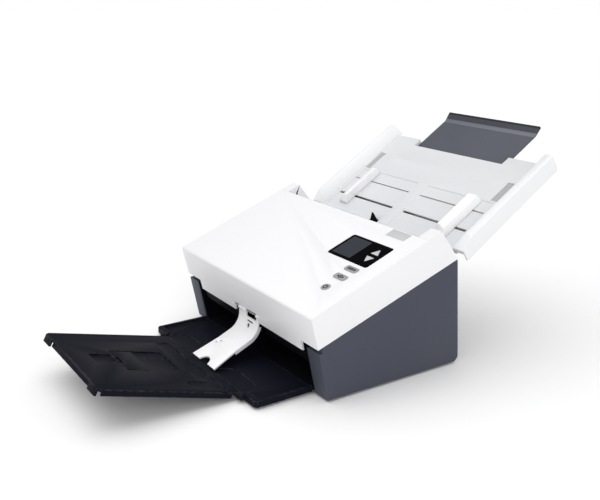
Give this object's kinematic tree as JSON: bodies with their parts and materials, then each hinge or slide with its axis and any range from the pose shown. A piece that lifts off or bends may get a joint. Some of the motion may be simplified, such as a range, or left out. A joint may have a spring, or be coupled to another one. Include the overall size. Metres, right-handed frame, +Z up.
{
  "type": "sheet fed document scanner",
  "caption": "Sheet-fed document scanner with its input tray, paper guides, pull-out extensions and output tray open, on rubber feet.",
  "frame": {"origin": "on the table, under the middle of the whole with both trays open", "axes": "+X is the operator's right, +Y is the back (the input tray rises towards it), +Z is up"},
  "size_m": [0.316, 0.6342, 0.2663],
  "materials": {
    "slate_case": "fine moulded texture",
    "white_cover": "satin moulding",
    "white_tray": "satin moulding, slightly milky",
    "white_small": "satin moulding",
    "black_inner": "matt moulding",
    "navy_tray": "fine moulded texture",
    "grey_extension": "fine moulded texture",
    "window_gloss": "polished",
    "screen_glass": "polished",
    "button_grey": "satin",
    "key_grey": "gloss",
    "pad_grey": "satin",
    "rubber": "matt",
    "shaft_steel": "ground",
    "chassis_steel": "galvanised sheet",
    "motor_metal": "pressed can",
    "pulley_brass": "turned",
    "board_green": "solder mask",
    "sensor_black": "matt moulding",
    "port_metal": "plated",
    "scan_glass": "polished",
    "pinch_plastic": "smooth acetal",
    "rack_plastic": "satin acetal"
  },
  "bodies": {
    "case": {"base_pan": "black_inner", "left_side_cover": "slate_case", "right_side_cover": "slate_case", "rear_cover": "slate_case", "output_bay": "black_inner", "output_tray": "navy_tray", "lower_guide": "black_inner", "feed_ramp": "white_tray", "left_chassis": "chassis_steel", "right_chassis": "chassis_steel", "main_board": "board_green", "power_jack": "sensor_black", "usb_port": "port_metal", "drive_motor": "motor_metal", "drive_belt": "rubber", "lower_sensor": "sensor_black", "lower_glass": "scan_glass", "feet": "rubber", "case_screws": "shaft_steel", "cover_hinge_pins": "shaft_steel"},
    "cover": {"top_cover": "white_cover", "upper_guide": "black_inner", "display_window": "window_gloss", "lcd_module": "screen_glass", "panel_board": "board_green", "upper_sensor": "sensor_black", "upper_glass": "scan_glass", "pinch_springs": "shaft_steel"},
    "arm_pivot": {"arm_pin": "shaft_steel"},
    "arm": {"paper_arm": "white_small"},
    "out_extension": {"output_extension": "navy_tray"},
    "stop_flap": {"paper_stop": "navy_tray"},
    "tray": {"input_tray": "white_tray", "tray_underside": "white_tray"},
    "in_extension": {"input_extension": "grey_extension"},
    "guide_left": {"left_guide": "white_small", "left_rack": "rack_plastic"},
    "guide_right": {"right_guide": "white_small", "right_rack": "rack_plastic"},
    "pinion": {"guide_pinion": "pinch_plastic"},
    "power_key": {"power_button": "button_grey"},
    "stop_key": {"stop_button": "button_grey"},
    "scan_key": {"scan_button": "button_grey"},
    "key_up": {"up_key": "key_grey"},
    "key_down": {"down_key": "key_grey"},
    "release": {"release_pad": "pad_grey"},
    "latch": {"latch_bar": "shaft_steel"},
    "feed_roller": {"feed_shaft": "shaft_steel", "feed_tyres": "rubber"},
    "drive_roller": {"drive_shaft": "shaft_steel", "drive_tyres": "rubber"},
    "exit_roller": {"exit_shaft": "shaft_steel", "exit_tyres": "rubber"},
    "motor_gear": {"motor_pulley": "pulley_brass"},
    "reverse_roller": {"reverse_shaft": "shaft_steel", "reverse_tyres": "rubber"},
    "pinch_drive": {"drive_pinch_roller": "pinch_plastic"},
    "pinch_exit": {"exit_pinch_roller": "pinch_plastic"},
    "flag": {"sensor_flag": "sensor_black"}
  },
  "joints": [
    {"name": "cover_hinge", "type": "hinge", "parent": "case", "child": "cover", "pos_m": [0, -0.08558, 0.0685], "axis": [1, 0, 0], "range_deg": [0, 60]},
    {"name": "arm_pin_turn", "type": "hinge", "parent": "cover", "child": "arm_pivot", "pos_m": [0, -0.08868, 0.0615], "axis": [1, 0, 0], "range_deg": [-60, 0]},
    {"name": "arm_lift", "type": "hinge", "parent": "arm_pivot", "child": "arm", "pos_m": [0, -0.08868, 0.0615], "axis": [-1, 0, 0], "range_deg": [0, 35]},
    {"name": "extension_fold", "type": "hinge", "parent": "case", "child": "out_extension", "pos_m": [0, -0.15749, 0.0065], "axis": [-1, 0, 0], "range_deg": [0, 62]},
    {"name": "stop_flip", "type": "hinge", "parent": "out_extension", "child": "stop_flap", "pos_m": [0, -0.23225, 0.02879], "axis": [-1, 0, 0], "range_deg": [0, 95]},
    {"name": "tray_tilt", "type": "hinge", "parent": "case", "child": "tray", "pos_m": [0, 0.11844, 0.13639], "axis": [1, 0, 0], "range_deg": [0, 40]},
    {"name": "extension_slide", "type": "slide", "parent": "tray", "child": "in_extension", "axis": [0, 0.8453, 0.5344], "range_m": [-0.06, 0]},
    {"name": "left_guide_slide", "type": "slide", "parent": "tray", "child": "guide_left", "axis": [1, 0, 0], "range_m": [-0.015, 0.07]},
    {"name": "right_guide_slide", "type": "slide", "parent": "tray", "child": "guide_right", "axis": [1, 0, 0], "range_m": [-0.07, 0.015]},
    {"name": "guide_pinion_spin", "type": "hinge", "parent": "tray", "child": "pinion", "pos_m": [0, 0.16293, 0.16333], "axis": [0, -0.5344, 0.8453], "range_deg": [-116, 510]},
    {"name": "power_press", "type": "slide", "parent": "cover", "child": "power_key", "axis": [0, 0.3536, -0.9354], "range_m": [0, 0.0008], "stiffness_N_per_m": 300},
    {"name": "stop_press", "type": "slide", "parent": "cover", "child": "stop_key", "axis": [0, 0.3536, -0.9354], "range_m": [0, 0.0008], "stiffness_N_per_m": 300},
    {"name": "scan_press", "type": "slide", "parent": "cover", "child": "scan_key", "axis": [0, 0.3536, -0.9354], "range_m": [0, 0.0008], "stiffness_N_per_m": 300},
    {"name": "up_press", "type": "slide", "parent": "cover", "child": "key_up", "axis": [0, 0.3536, -0.9354], "range_m": [0, 0.0005], "stiffness_N_per_m": 300},
    {"name": "down_press", "type": "slide", "parent": "cover", "child": "key_down", "axis": [0, 0.3536, -0.9354], "range_m": [0, 0.0005], "stiffness_N_per_m": 300},
    {"name": "release_press", "type": "slide", "parent": "cover", "child": "release", "axis": [0, 0.3536, -0.9354], "range_m": [0, 0.002]},
    {"name": "latch_turn", "type": "hinge", "parent": "cover", "child": "latch", "pos_m": [0, 0.04573, 0.12034], "axis": [-1, 0, 0], "range_deg": [0, 6.75], "stiffness_Nm_per_rad": 1.2},
    {"name": "feed_spin", "type": "hinge", "parent": "case", "child": "feed_roller", "pos_m": [0, 0.02998, 0.07821], "axis": [1, 0, 0], "continuous": true},
    {"name": "drive_spin", "type": "hinge", "parent": "case", "child": "drive_roller", "pos_m": [0, 0.00526, 0.07018], "axis": [1, 0, 0], "continuous": true},
    {"name": "exit_spin", "type": "hinge", "parent": "case", "child": "exit_roller", "pos_m": [0, -0.06703, 0.0467], "axis": [1, 0, 0], "continuous": true},
    {"name": "motor_spin", "type": "hinge", "parent": "case", "child": "motor_gear", "pos_m": [0, 0.06992, 0.036], "axis": [1, 0, 0], "continuous": true},
    {"name": "reverse_spin", "type": "hinge", "parent": "cover", "child": "reverse_roller", "pos_m": [0, 0.0243, 0.09571], "axis": [1, 0, 0], "continuous": true},
    {"name": "drive_pinch_spin", "type": "hinge", "parent": "cover", "child": "pinch_drive", "pos_m": [0, 0.00065, 0.08435], "axis": [1, 0, 0], "continuous": true},
    {"name": "exit_pinch_spin", "type": "hinge", "parent": "cover", "child": "pinch_exit", "pos_m": [0, -0.07163, 0.06087], "axis": [1, 0, 0], "continuous": true},
    {"name": "flag_tilt", "type": "hinge", "parent": "tray", "child": "flag", "pos_m": [0, 0.1224, 0.13948], "axis": [1, 0, 0], "range_deg": [0, 30], "stiffness_Nm_per_rad": 0.002}
  ],
  "couplings": [
    {"joint": "arm_pin_turn", "follows": "cover_hinge", "ratio": -1},
    {"joint": "right_guide_slide", "follows": "left_guide_slide", "ratio": -1},
    {"joint": "guide_pinion_spin", "follows": "left_guide_slide", "rad_per_m": 125},
    {"joint": "release_press", "follows": "latch_turn", "m_per_rad": 0.0169},
    {"joint": "drive_spin", "follows": "feed_spin", "ratio": 1},
    {"joint": "exit_spin", "follows": "feed_spin", "ratio": 1},
    {"joint": "motor_spin", "follows": "feed_spin", "ratio": 1.5}
  ]
}
